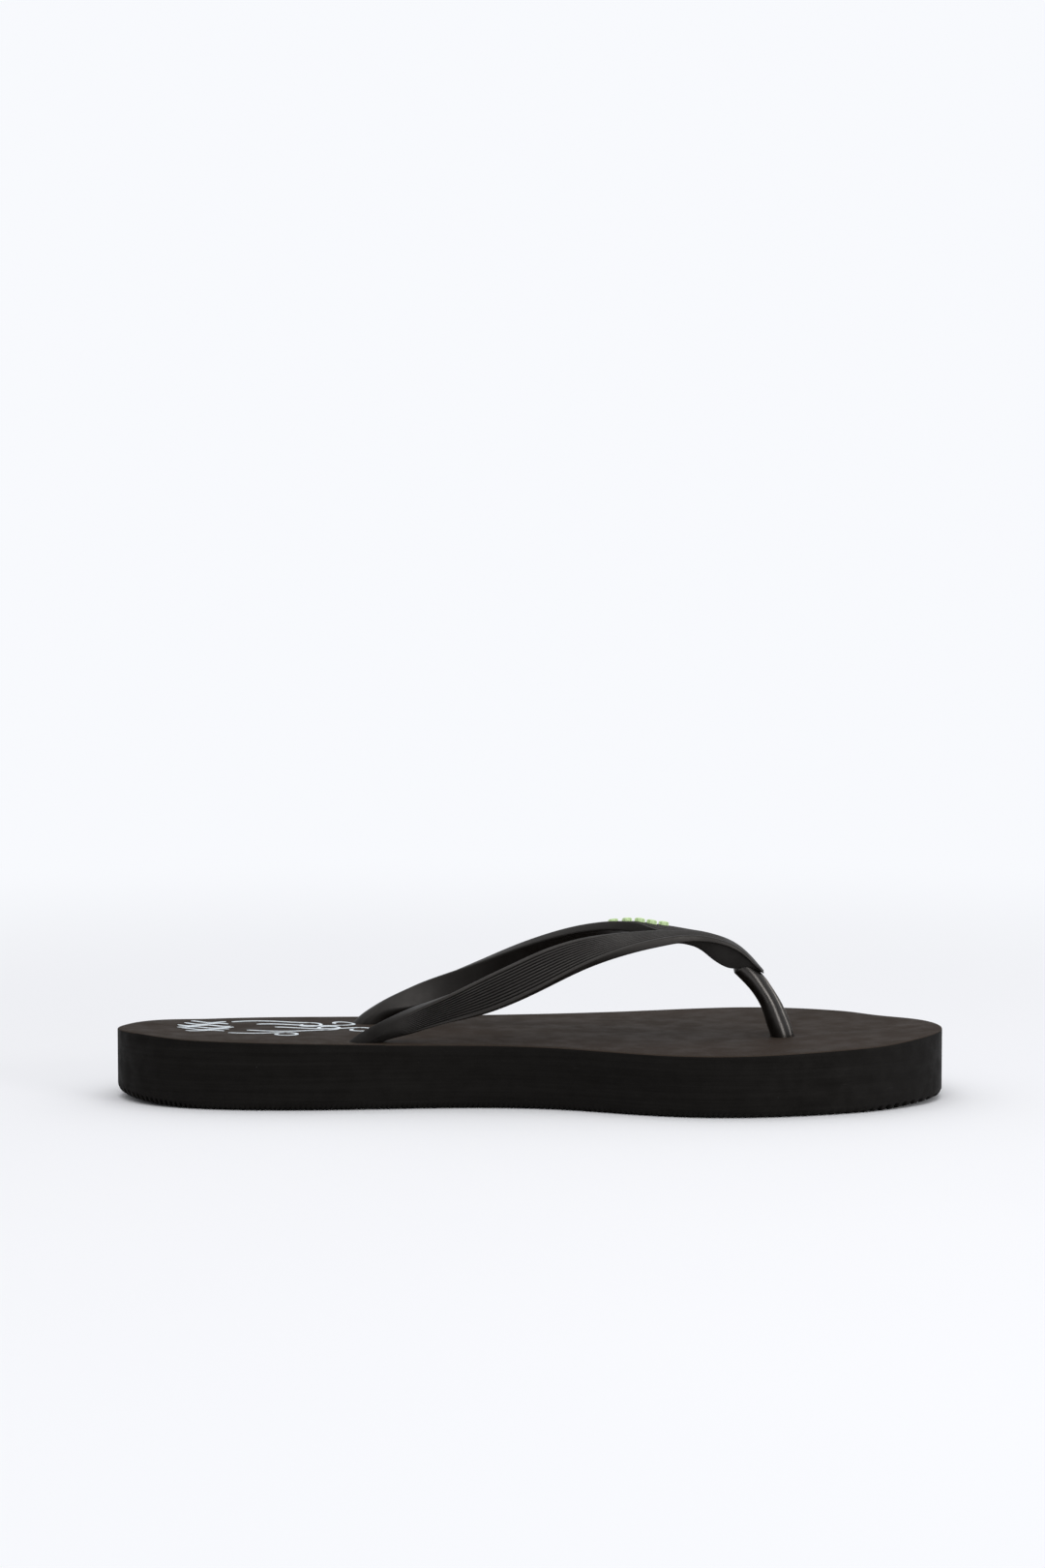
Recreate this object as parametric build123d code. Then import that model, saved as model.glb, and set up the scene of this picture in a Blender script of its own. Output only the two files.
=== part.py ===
"""Left flip flop in millimetres: foam sole of two sheets, moulded rubber strap with its toe post and plugs.

+X points to the toe, +Y to the little-toe side, +Z up. The origin is under the middle of the sole.
"""

from build123d import *
from math import cos, radians, sin
import os

# Sole
LENGTH = 250.0
BALL_WIDTH = 94.0
SHEET_JOINT = 9.6  # height of the glue line between outsole and footbed
SOLE_TOP_REAR = 19.4
REAR_FLAT_END = -40.0  # the footbed is level from the heel tip to here
SOLE_TOP_BALL = 18.7
SOLE_TOP_TOE = 19.9
LOWER_EDGE_R = 2.0  # rounding of the sole's lower edge

# Bend line across the ball of the foot
FLEX_X = 45.0
FLEX_GAP = 0.3

# Strap anchors and the toe post's two ends
ANCHOR_X = -50.0
ANCHOR_Z = 19.5
MEDIAL_Y = -24.0
LATERAL_Y = 17.0
POST_Y = -9.0
POST_FOOT = (76.6, 19.4)  # X and Z of the post's centre at the footbed
POST_HEAD = (64.0, 40.2)  # X and Z of the post's centre inside the strap's cap
POST_FOOT_R = 3.65
POST_HEAD_R = 3.2
POST_BOW = 1.3  # how far the post bows forward at its middle
HEAD_CLEARANCE = 1.0  # room for the post's head while the sole bends

# Plugs that hold the strap in the sole
STEM_R = 3.5
STEM_HOLE_R = 3.6
STEM_TOP = 15.2
DISC_R = 7.0
DISC_LOW = 1.3
DISC_TOP = 3.8
DISC_EDGE_R = 0.8
RECESS_R = 7.6
RECESS_TOP = 3.9
BALL_R = 3.5  # rounded foot of each strap arm, seated in the footbed
BALL_ROOM = 0.7
ENTRY_SLOPE = 27.0  # degrees, at which an arm leaves the footbed

# Strap bridge over the toes
BRIDGE_BACK = 42.0
BRIDGE_HALF_WIDTH = 9.5
CAP_FRONT = 70.4

# Badge and heel print
BADGE_STATIONS = (4, 5, 6)  # the lateral arm's stations before, at and after the badge
BADGE_BARS = 5
BADGE_PITCH = 3.4
BADGE_BAR = (1.9, 7.0)  # along and across the arm
BADGE_CORNER_R = 0.6
BADGE_PROUD = 1.3
PRINT_LINES = 4
PRINT_FIRST_Y = 11.0
PRINT_PITCH = 8.5
PRINT_WIDTH = 1.2
PRINT_DEPTH = 0.15

HALF = LENGTH / 2
SIDE = BALL_WIDTH / 2
FAR = 400.0  # reaches past the whole flip flop

# Outline of the sole from heel tip to toe tip, as shares of half the length and half the ball width
MEDIAL_SIDE = (
    (-0.970, -0.36), (-0.890, -0.56), (-0.730, -0.70), (-0.500, -0.72), (-0.110, -0.635),
    (0.080, -0.71), (0.265, -0.91), (0.420, -1.00), (0.570, -0.98), (0.690, -0.90),
    (0.800, -0.78), (0.900, -0.60), (0.970, -0.39),
)
LATERAL_SIDE = (
    (-0.970, 0.16), (-0.890, 0.38), (-0.730, 0.53), (-0.400, 0.59), (-0.110, 0.69),
    (0.080, 0.81), (0.265, 0.95), (0.430, 1.00), (0.570, 0.945), (0.690, 0.82),
    (0.830, 0.58), (0.920, 0.38), (0.972, 0.18),
)
TIP_SHARE = -0.10  # the heel tip and toe tip lie this far off the middle

# Stations of each arm: X, outer rim's Y and Z, inner rim's Y and Z, thickness
MEDIAL_ARM = (
    (ANCHOR_X, -24.0, 16.4, -24.0, 22.6, 6.0),
    (-43.3, -25.2, 20.6, -24.0, 25.8, 5.4),
    (-31.6, -27.0, 24.3, -23.9, 31.3, 4.4),
    (-14.0, -28.2, 28.4, -22.5, 39.4, 3.8),
    (4.0, -27.3, 35.6, -19.8, 46.6, 3.8),
    (27.0, -23.3, 45.2, -13.2, 50.6, 3.8),
    (38.0, -20.6, 48.0, -10.9, 51.2, 3.8),
    (49.0, -17.8, 48.8, -9.2, 51.2, 4.0),
)
LATERAL_ARM = (
    (ANCHOR_X, 17.0, 16.4, 17.0, 22.6, 6.0),
    (-43.3, 18.3, 20.6, 16.6, 25.8, 5.4),
    (-31.6, 20.2, 24.3, 16.5, 31.3, 4.4),
    (-14.0, 20.8, 28.2, 15.0, 38.8, 3.8),
    (4.0, 18.2, 35.8, 10.5, 46.6, 3.8),
    (27.0, 8.8, 46.6, -1.6, 52.0, 3.8),
    (38.0, 4.0, 49.0, -6.0, 52.2, 3.8),
    (49.0, -0.2, 49.2, -8.8, 51.4, 4.0),
)


def outline():
    """The sole's plan as one face."""
    tips = ((-HALF, TIP_SHARE * SIDE), (HALF, TIP_SHARE * SIDE))
    sides = []
    for shares, turn in ((MEDIAL_SIDE, -1), (LATERAL_SIDE, 1)):
        points = [(HALF * x, SIDE * y) for x, y in shares]
        ends = [(0, turn), (0, -turn)]
        sides.append(Spline(tips[0], *points, tips[1], tangents=ends, tangent_scalars=[1, 1]))
    return make_face(sides)


def across(profile):
    """A side profile in XZ carried across the whole width."""
    return extrude(Plane.XZ * profile, amount=FAR, both=True)


def box(x_low, x_high, y_low, y_high, z_low, z_high):
    """A box from its corners."""
    size = (x_high - x_low, y_high - y_low, z_high - z_low)
    middle = ((x_low + x_high) / 2, (y_low + y_high) / 2, (z_low + z_high) / 2)
    return Pos(*middle) * Box(*size)


def upright(radius, x, y, z_low, z_high):
    """A standing cylinder between two heights."""
    return Pos(x, y, (z_low + z_high) / 2) * Cylinder(radius, z_high - z_low)


def footbed_sheet():
    """Upper foam sheet, whose top dips gently at the ball and rises to the toe."""
    top = Spline(
        (REAR_FLAT_END, SOLE_TOP_REAR),
        (0.0, (SOLE_TOP_REAR + SOLE_TOP_BALL) / 2),
        (0.42 * HALF, SOLE_TOP_BALL),
        (0.84 * HALF, SOLE_TOP_TOE),
        (HALF, SOLE_TOP_TOE),
        tangents=[(1, 0), (1, 0)],
        tangent_scalars=[1, 1],
    )
    rest = Polyline(
        (HALF, SOLE_TOP_TOE),
        (HALF, SHEET_JOINT),
        (-HALF, SHEET_JOINT),
        (-HALF, SOLE_TOP_REAR),
        (REAR_FLAT_END, SOLE_TOP_REAR),
    )
    return extrude(outline(), amount=FAR, dir=(0, 0, 1)) & across(make_face([top, rest]))


def outsole_sheet():
    """Lower foam sheet, with its lower edge rounded all the way round."""
    sheet = extrude(outline(), amount=SHEET_JOINT, dir=(0, 0, 1))
    return fillet(sheet.edges().group_by(Axis.Z)[0], LOWER_EDGE_R)


def rear_of(solid):
    """What lies behind the bend line."""
    return solid & box(-FAR, FLEX_X - FLEX_GAP / 2, -FAR, FAR, -FAR, FAR)


def fore_of(solid):
    """What lies in front of the bend line."""
    return solid & box(FLEX_X + FLEX_GAP / 2, FAR, -FAR, FAR, -FAR, FAR)


def plug_hole(x, y):
    """Room for a plug: the stem's hole and the recess for its disc."""
    return upright(STEM_HOLE_R, x, y, 0, FAR) + upright(RECESS_R, x, y, -1, RECESS_TOP)


def arm_entry(y):
    """Dimple where a strap arm enters the footbed."""
    room = BALL_R + BALL_ROOM
    along = Plane(
        origin=(ANCHOR_X, y, ANCHOR_Z),
        z_dir=(cos(radians(ENTRY_SLOPE)), 0, sin(radians(ENTRY_SLOPE))),
    )
    slot = along * Cylinder(room, 20, align=(Align.CENTER, Align.CENTER, Align.MIN))
    return slot + Pos(ANCHOR_X, y, ANCHOR_Z) * Sphere(room)


def post_entry():
    """Dimple where the toe post enters the footbed, flared for its tilt."""
    x, z = POST_FOOT
    room = POST_FOOT_R + BALL_ROOM
    flare = Pos(x, POST_Y, z) * Cone(room, room + 2, 4)
    return flare + Pos(x, POST_Y, z) * Sphere(room)


def plug(x, y):
    """Disc under the sole with the stem that carries the strap."""
    disc = upright(DISC_R, x, y, DISC_LOW, DISC_TOP)
    rim = disc.edges().filter_by(GeomType.CIRCLE)
    return fillet(rim, DISC_EDGE_R) + upright(STEM_R, x, y, DISC_LOW + 1, STEM_TOP)


def middle_of(station):
    """The point midway between a station's rims."""
    x, outer_y, outer_z, inner_y, inner_z, _ = station
    return Vector(x, (outer_y + inner_y) / 2, (outer_z + inner_z) / 2)


def arm_section(before, here, after):
    """One rounded cross-section of an arm, square to the arm's run."""
    _, outer_y, outer_z, inner_y, inner_z, thickness = here
    run = (middle_of(after) - middle_of(before)).normalized()
    span = Vector(0, inner_y - outer_y, inner_z - outer_z)
    across_arm = span - run * span.dot(run)
    face = RectangleRounded(across_arm.length, thickness, 0.42 * thickness)
    return Plane(origin=middle_of(here), x_dir=across_arm, z_dir=run) * face


def arm(stations):
    """One strap arm from its rounded foot to the bridge."""
    last = len(stations) - 1
    sections = []
    for i, here in enumerate(stations):
        sections.append(arm_section(stations[max(i - 1, 0)], here, stations[min(i + 1, last)]))
    foot = Pos(middle_of(stations[0])) * Sphere(BALL_R)
    return loft(sections) + foot


def bridge():
    """Flat bridge whose nose bends down into the cap over the toe post."""
    top = Spline(
        (BRIDGE_BACK, 51.6),
        (50.7, 51.5),
        (56.5, 50.1),
        (62.4, 47.7),
        (68.3, 42.8),
        (CAP_FRONT, 38.9),
    )
    under = Spline(
        (CAP_FRONT - 0.6, 38.4),
        (61.0, 40.4),
        (56.6, 43.2),
        (50.5, 46.8),
        (BRIDGE_BACK, 48.0),
    )
    nose = Line((CAP_FRONT, 38.9), (CAP_FRONT - 0.6, 38.4))
    back = Line((BRIDGE_BACK, 48.0), (BRIDGE_BACK, 51.6))
    side_view = across(make_face([top, nose, under, back]))
    half_plan = (
        (BRIDGE_BACK, BRIDGE_HALF_WIDTH),
        (49.0, BRIDGE_HALF_WIDTH - 0.8),
        (57.0, 7.2),
        (64.0, 6.2),
        (68.5, 5.2),
        (CAP_FRONT + 1, 3.6),
    )
    near = [(x, POST_Y - half) for x, half in half_plan]
    far = [(x, POST_Y + half) for x, half in reversed(half_plan)]
    plan = make_face(Polyline(*near, *far, close=True))
    return side_view & extrude(plan, amount=FAR)


def strap_yoke():
    """Both arms, the bridge and the cap, with room in the cap for the post's head."""
    x, z = POST_HEAD
    room = POST_HEAD_R + HEAD_CLEARANCE
    down = Vector(POST_FOOT[0] - x, 0, POST_FOOT[1] - z)
    mouth = Plane(origin=(x, POST_Y, z), z_dir=down)
    funnel = mouth * Cone(room, room + 4, 12, align=(Align.CENTER, Align.CENTER, Align.MIN))
    solid = arm(MEDIAL_ARM) + arm(LATERAL_ARM) + bridge()
    return solid - Pos(x, POST_Y, z) * Sphere(room) - funnel


def toe_post():
    """Slightly bowed post between the toes, round at both ends."""
    (x_low, z_low), (x_high, z_high) = POST_FOOT, POST_HEAD
    places = []
    for share in (0.0, 0.33, 0.67, 1.0):
        forward = POST_BOW * 4 * share * (1 - share)
        x = x_low + (x_high - x_low) * share + forward
        z = z_low + (z_high - z_low) * share + forward * 0.6
        places.append((Vector(x, POST_Y, z), POST_FOOT_R + (POST_HEAD_R - POST_FOOT_R) * share))
    rings = []
    for i, (middle, radius) in enumerate(places):
        run = places[min(i + 1, 3)][0] - places[max(i - 1, 0)][0]
        rings.append(Plane(origin=middle, x_dir=(0, 1, 0), z_dir=run) * Circle(radius - 0.1))
    foot = Pos(x_low, POST_Y, z_low) * Sphere(POST_FOOT_R)
    head = Pos(x_high, POST_Y, z_high) * Sphere(POST_HEAD_R)
    return loft(rings) + foot + head


def badge(yoke):
    """Row of raised bars on the lateral arm's outer face, seated on the arm."""
    start, seat, end = (LATERAL_ARM[i] for i in BADGE_STATIONS)
    run = (middle_of(end) - middle_of(start)).normalized()
    rim_to_rim = Vector(0, seat[3] - seat[1], seat[4] - seat[2])
    outward = rim_to_rim.cross(run).normalized()
    outward = outward if outward.Z > 0 else outward * -1
    middle = middle_of(seat) + outward * (seat[5] / 2)
    bars = []
    for i in range(BADGE_BARS):
        along = (i - (BADGE_BARS - 1) / 2) * BADGE_PITCH
        place = Plane(origin=middle + run * along, x_dir=run, z_dir=outward)
        bar = place * Box(*BADGE_BAR, 2 * BADGE_PROUD)
        bars.append(fillet(bar.edges().filter_by(Axis(middle, outward)), BADGE_CORNER_R) - yoke)
    return Compound(children=[max(bar.solids(), key=lambda s: s.volume) for bar in bars])


def heel_print():
    """Thin film of abstract wavy lines printed on the heel."""
    lines = []
    for i in range(PRINT_LINES):
        y = PRINT_FIRST_Y - PRINT_PITCH * i
        wave = Spline((-106, y - 4), (-92, y + 2), (-78, y - 3), (-62, y + 1))
        lines.append(extrude(trace(wave, PRINT_WIDTH), amount=PRINT_DEPTH))
    return Pos(0, 0, SOLE_TOP_REAR) * Compound(children=lines)


def nodes():
    """Every node of the flip flop by name."""
    post_x = POST_FOOT[0]
    side_holes = plug_hole(ANCHOR_X, MEDIAL_Y) + plug_hole(ANCHOR_X, LATERAL_Y)
    toe_hole = plug_hole(post_x, POST_Y)
    footbed = footbed_sheet()
    outsole = outsole_sheet()
    yoke = strap_yoke()
    return {
        "footbed_rear": rear_of(footbed) - side_holes - arm_entry(MEDIAL_Y) - arm_entry(LATERAL_Y),
        "footbed_fore": fore_of(footbed) - toe_hole - post_entry(),
        "outsole_rear": rear_of(outsole) - side_holes,
        "outsole_fore": fore_of(outsole) - toe_hole,
        "side_plug_medial": plug(ANCHOR_X, MEDIAL_Y),
        "side_plug_lateral": plug(ANCHOR_X, LATERAL_Y),
        "toe_plug": plug(post_x, POST_Y),
        "strap_yoke": yoke,
        "toe_post": toe_post(),
        "strap_badge": badge(yoke),
        "heel_print": heel_print(),
    }


os.makedirs("parts", exist_ok=True)
for name, shape in nodes().items():
    export_step(shape, f"parts/{name}.step")
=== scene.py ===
"""Looks of the left flip flop: foam sole, ribbed rubber strap, toe post, plugs, badge and heel print.

Lengths are in millimetres until a mesh is made. Meshes, the camera and the lights are in metres.
"""

from math import cos, pi, radians, sin

import bmesh
import bpy
import numpy as np
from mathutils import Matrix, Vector


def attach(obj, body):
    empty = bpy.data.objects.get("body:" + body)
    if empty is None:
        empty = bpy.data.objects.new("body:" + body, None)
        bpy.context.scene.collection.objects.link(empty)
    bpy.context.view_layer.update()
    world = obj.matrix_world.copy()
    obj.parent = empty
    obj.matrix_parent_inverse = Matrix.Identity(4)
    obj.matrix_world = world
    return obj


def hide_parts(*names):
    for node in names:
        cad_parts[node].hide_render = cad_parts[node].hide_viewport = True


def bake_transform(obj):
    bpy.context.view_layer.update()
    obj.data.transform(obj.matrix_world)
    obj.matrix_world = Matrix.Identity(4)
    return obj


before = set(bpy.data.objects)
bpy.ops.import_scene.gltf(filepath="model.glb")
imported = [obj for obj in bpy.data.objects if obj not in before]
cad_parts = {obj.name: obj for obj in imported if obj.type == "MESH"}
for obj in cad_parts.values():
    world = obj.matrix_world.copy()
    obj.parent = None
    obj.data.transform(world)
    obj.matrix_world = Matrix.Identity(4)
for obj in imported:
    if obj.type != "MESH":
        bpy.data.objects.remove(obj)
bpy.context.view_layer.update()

MM = 0.001
HALF, SIDE = 125.0, 47.0  # half the sole's length and half its width at the ball
TIP_Y = -4.7  # where the heel and toe tips lie across the sole
GLUE_Z = 9.6  # height of the joint between the two foam sheets
POST_Y = -9.0
MEDIAL_Y, LATERAL_Y = -24.0, 17.0
ANCHOR_X, POST_X = -50.0, 76.6
# Outline of the sole from heel to toe, as shares of HALF and SIDE
MEDIAL_SIDE = (
    (-0.970, -0.36), (-0.890, -0.56), (-0.730, -0.70), (-0.500, -0.72), (-0.110, -0.635),
    (0.080, -0.71), (0.265, -0.91), (0.420, -1.00), (0.570, -0.98), (0.690, -0.90),
    (0.800, -0.78), (0.900, -0.60), (0.970, -0.39),
)
LATERAL_SIDE = (
    (-0.970, 0.16), (-0.890, 0.38), (-0.730, 0.53), (-0.400, 0.59), (-0.110, 0.69),
    (0.080, 0.81), (0.265, 0.95), (0.430, 1.00), (0.570, 0.945), (0.690, 0.82),
    (0.830, 0.58), (0.920, 0.38), (0.972, 0.18),
)


# ---------------------------------------------------------------- numbers
def ease(a, b, x):
    """0 at a, 1 at b, easing between them; a may be above b."""
    t = np.clip((np.asarray(x, float) - a) / (b - a), 0, 1)
    return t * t * (3 - 2 * t)


def spline(t, v, at, ends=None):
    """Cubic spline through the rows v at t, read at the places `at`; ends are the slopes at its ends."""
    t, v, at = np.asarray(t, float), np.asarray(v, float), np.asarray(at, float)
    flat = v.ndim == 1
    v = v[:, None] if flat else v
    n, h = len(t), np.diff(t)
    d = np.diff(v, axis=0) / h[:, None]
    a, b = np.zeros((n, n)), np.zeros(v.shape)
    for i in range(1, n - 1):
        a[i, i - 1], a[i, i], a[i, i + 1] = h[i], 2 * (h[i - 1] + h[i]), h[i - 1]
        b[i] = 3 * (h[i] * d[i - 1] + h[i - 1] * d[i])
    if ends is None:
        a[0, 0], a[0, 1], b[0] = 2, 1, 3 * d[0]
        a[-1, -1], a[-1, -2], b[-1] = 2, 1, 3 * d[-1]
    else:
        a[0, 0] = a[-1, -1] = 1
        b[0], b[-1] = ends
    m = np.linalg.solve(a, b)
    k = np.clip(np.searchsorted(t, at) - 1, 0, n - 2)
    s = ((at - t[k]) / h[k])[:, None]
    hk = h[k][:, None]
    out = (
        (2 * s**3 - 3 * s**2 + 1) * v[k]
        + (s**3 - 2 * s**2 + s) * hk * m[k]
        + (3 * s**2 - 2 * s**3) * v[k + 1]
        + (s**3 - s**2) * hk * m[k + 1]
    )
    return out[:, 0] if flat else out


def unit(v):
    """Rows of v at length one."""
    return v / np.maximum(np.linalg.norm(v, axis=-1, keepdims=True), 1e-12)


# ---------------------------------------------------------------- the sole's shape
class Side:
    """One side of the sole's plan: its Y and its inward direction at any X."""

    def __init__(self, shares, turn):
        points = [(-HALF, TIP_Y)]
        points += [(HALF * x, SIDE * y) for x, y in shares]
        points.append((HALF, TIP_Y))
        points = np.array(points)
        t = np.concatenate([[0], np.cumsum(np.linalg.norm(np.diff(points, axis=0), axis=1))])
        at = t[-1] * (1 - np.cos(np.linspace(0, pi, 6001))) / 2
        line = spline(t, points, at, ends=[(0, turn), (0, -turn)])
        run = unit(np.gradient(line, at, axis=0))
        run[0], run[-1] = (0, turn), (0, -turn)
        self.x, self.y = line[:, 0], line[:, 1]
        self.inward = np.stack([turn * run[:, 1], -turn * run[:, 0]], axis=1)

    def at(self, x):
        """Points and inward directions at the columns x."""
        y = np.interp(x, self.x, self.y)
        inward = np.stack([np.interp(x, self.x, self.inward[:, i]) for i in (0, 1)], axis=1)
        return np.stack([x, y], axis=1), unit(inward)


MEDIAL = Side(MEDIAL_SIDE, -1)
LATERAL = Side(LATERAL_SIDE, 1)


def top_level(x):
    """Height of the footbed's surface before the sole's warp."""
    z = spline([-40, 0, 52.5, 105, 125], [19.4, 19.05, 18.7, 19.9, 19.9], x, ends=[0, 0])
    return np.where(np.asarray(x) < -40, 19.4, z)


def lift(x, y, height=19.4):
    """How far the sole is warped upwards: its tips curl up, and its upper part leans at heel and ball."""
    share = np.clip(np.asarray(height, float) / 19.4, 0, 1)
    heel_edge = 1.4 * ease(-20, -105, x) * ease(5, -30, y)
    ball = (0.85 * ease(0, 32, y) - 0.3 * ease(-18, -42, y)) * ease(25, 75, x) * ease(119, 98, x)
    heel_tip = 1.2 * ease(-98, -125, x)
    toe_tip = 1.2 * ease(104, 125, x)
    return heel_tip + toe_tip + share * (heel_edge + ball)


def columns(inner):
    """X of the sole's columns: those given, and closer ones at the round tips."""
    near = np.array([0, 0.02, 0.09, 0.2, 0.36, 0.56, 0.8, 1.1, 1.45, 1.85])
    inner = np.array([x for x in inner if -HALF + 2.1 < x < HALF - 2.1])
    return np.concatenate([near - HALF, inner, HALF - near[::-1]])


def perimeter(xs, inset, z):
    """A ring around the sole, up its medial side and back down its lateral side; inset and z per point."""
    medial, m_in = MEDIAL.at(xs)
    lateral, l_in = LATERAL.at(xs[1:-1][::-1])
    plan, inward = np.concatenate([medial, lateral]), np.concatenate([m_in, l_in])
    plan = plan + inward * inset[:, None]
    return np.column_stack([plan, z + lift(plan[:, 0], plan[:, 1], z)])


def new_mesh(name, verts, faces, weld=False, sharp=35, hollow_and_painted_shade=None):
    """A mesh object from points in millimetres; the optional per-point mark gives how much painted shade
    darkens each point and how dull it is.
    """
    mesh = bpy.data.meshes.new(name)
    mesh.from_pydata((np.asarray(verts) * MM).tolist(), [], faces)
    if hollow_and_painted_shade is not None:
        mesh.attributes.new("hollow_and_painted_shade", "FLOAT", "POINT").data.foreach_set("value", hollow_and_painted_shade)
    bm = bmesh.new()
    bm.from_mesh(mesh)
    if weld:
        bmesh.ops.remove_doubles(bm, verts=bm.verts, dist=1e-7)
    bmesh.ops.recalc_face_normals(bm, faces=bm.faces)
    bm.to_mesh(mesh)
    bm.free()
    obj = bpy.data.objects.new(name, mesh)
    bpy.context.scene.collection.objects.link(obj)
    finish_shading(obj, sharp)
    return obj


def finish_shading(obj, sharp):
    """Smooth shading, broken only at edges sharper than this many degrees."""
    mesh = obj.data
    mesh.shade_smooth()
    mesh.set_sharp_from_angle(angle=radians(sharp))


def closed_sheet(name, xs, rings, low_face, high_face, across):
    """A closed sheet: rings up its wall, with a low and a high face made of strips across it."""
    n, ring = len(xs) - 1, len(rings[0])
    verts = list(np.concatenate(rings))
    faces = []
    for r in range(len(rings) - 1):
        for i in range(ring):
            j = (i + 1) % ring
            faces.append((r * ring + i, r * ring + j, (r + 1) * ring + j, (r + 1) * ring + i))
    shares = (1 - np.cos(np.linspace(0, pi, across + 1))) / 2
    shares = 0.45 * shares + 0.55 * np.linspace(0, 1, across + 1)
    for start, height in ((0, low_face), ((len(rings) - 1) * ring, high_face)):
        edge = rings[start // ring]
        rows = []
        for i in range(1, n):
            a, b = edge[i], edge[ring - i]
            row = [start + i]
            inner = a[None, :2] + (b - a)[None, :2] * shares[1:-1, None]
            z = height(inner[:, 0], inner[:, 1], np.full(len(inner), xs[i]))
            row += list(range(len(verts), len(verts) + len(inner)))
            verts += list(np.column_stack([inner, z]))
            row.append(start + ring - i)
            rows.append(row)
        for a, b in zip(rows[:-1], rows[1:]):
            faces += [(a[k], a[k + 1], b[k + 1], b[k]) for k in range(across)]
        for tip, row in ((start, rows[0]), (start + n, rows[-1])):
            faces += [(tip, row[k], row[k + 1]) for k in range(across)]
    return new_mesh(name, verts, faces, sharp=30)


def cut(obj, *cutters):
    """Takes the cutters away from obj and removes them."""
    for cutter in cutters:
        modifier = obj.modifiers.new("cut", "BOOLEAN")
        modifier.operation, modifier.solver, modifier.object = "DIFFERENCE", "EXACT", cutter
        bpy.context.view_layer.update()
        result = bpy.data.meshes.new_from_object(obj.evaluated_get(bpy.context.evaluated_depsgraph_get()))
        obj.modifiers.clear()
        old, obj.data = obj.data, result
        result.name = obj.name
        bpy.data.meshes.remove(old)
        bpy.data.objects.remove(cutter)
    finish_shading(obj, 32)


def lathe(name, profile, x, y, segments=72, sharp=35):
    """A turned shape about a standing axis at (x, y); the profile of (radius, z) starts and ends on it."""
    verts, faces, rings = [], [], []
    for radius, z in profile:
        if radius < 1e-6:
            rings.append([len(verts)] * segments)
            verts.append((x, y, z))
        else:
            rings.append(list(range(len(verts), len(verts) + segments)))
            for k in range(segments):
                turn = 2 * pi * k / segments
                verts.append((x + radius * cos(turn), y + radius * sin(turn), z))
    for a, b in zip(rings[:-1], rings[1:]):
        for k in range(segments):
            j = (k + 1) % segments
            face = list(dict.fromkeys((a[k], a[j], b[j], b[k])))
            if len(face) > 2:
                faces.append(tuple(face))
    return new_mesh(name, verts, faces, sharp=sharp)


# ---------------------------------------------------------------- sole sheets
TOOTH_CORNERS = (0.0, 0.42, 0.58, 0.84)  # share of a tooth's pitch: crest, slope, trough, slope
TOOTH_DEPTH = 0.9


def tooth_places():
    """Start and pitch of every cross tooth: fine at heel and waist, coarser at the toe."""
    places, x = [], -HALF + 0.4
    while x < HALF:
        pitch = 1.5 + 1.1 * float(ease(54, 64, x))
        places.append((x, pitch))
        x += pitch
    return places


def tooth_rise(x):
    """How far the tread rises between its teeth at X."""
    starts = np.array([p[0] for p in tooth_places()])
    pitches = np.array([p[1] for p in tooth_places()])
    k = np.clip(np.searchsorted(starts, x + 1e-9) - 1, 0, len(starts) - 1)
    share = (x - starts[k]) / pitches[k]
    shape = np.interp(share, (*TOOTH_CORNERS, 1.0), (0, 0, 1, 1, 0))
    return TOOTH_DEPTH * shape


def make_outsole():
    """Lower foam sheet with a rounded lower edge and fine cross teeth below."""
    xs = columns([x + s * pitch for x, pitch in tooth_places() for s in TOOTH_CORNERS])
    ring_x = np.concatenate([xs, xs[1:-1][::-1]])
    rise = tooth_rise(ring_x) * (0.3 + 0.7 * (ease(-98, -110, ring_x) + ease(98, 108, ring_x)))
    radius = 2.2 + 1.0 * ease(-112, -125, ring_x) - 0.7 * ease(108, 122, ring_x)
    rings = []
    for turn in np.linspace(0, 90, 8):
        c, s = cos(radians(turn)), sin(radians(turn))
        bite = rise * (1 - float(ease(55, 85, turn)))
        rings.append(perimeter(xs, radius * (1 - s) + bite * s, radius * (1 - c) + bite * c))
    for z in (4.6, 6.2, 7.8, GLUE_Z - 0.02):
        rings.append(perimeter(xs, np.zeros(len(ring_x)), np.full(len(ring_x), z)))

    def tread(x, y, column):
        return tooth_rise(column) + lift(x, y, 0)

    def glued(x, y, column):
        return GLUE_Z - 0.02 + lift(x, y, GLUE_Z)

    return closed_sheet("outsole", xs, rings, tread, glued, 26)


ENTRIES = ((-49.4, -24.2), (-49.4, 17.0), (76.6, POST_Y))


def bed_level(x, y):
    """Height of the footbed's surface: level foam that dips where the rubber enters it."""
    z = top_level(x) + lift(x, y)
    for ex, ey in ENTRIES:
        away = np.hypot(x - ex, y - ey)
        z = z - 0.75 * np.exp(-((away / 7.0) ** 2))
    return z


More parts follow.
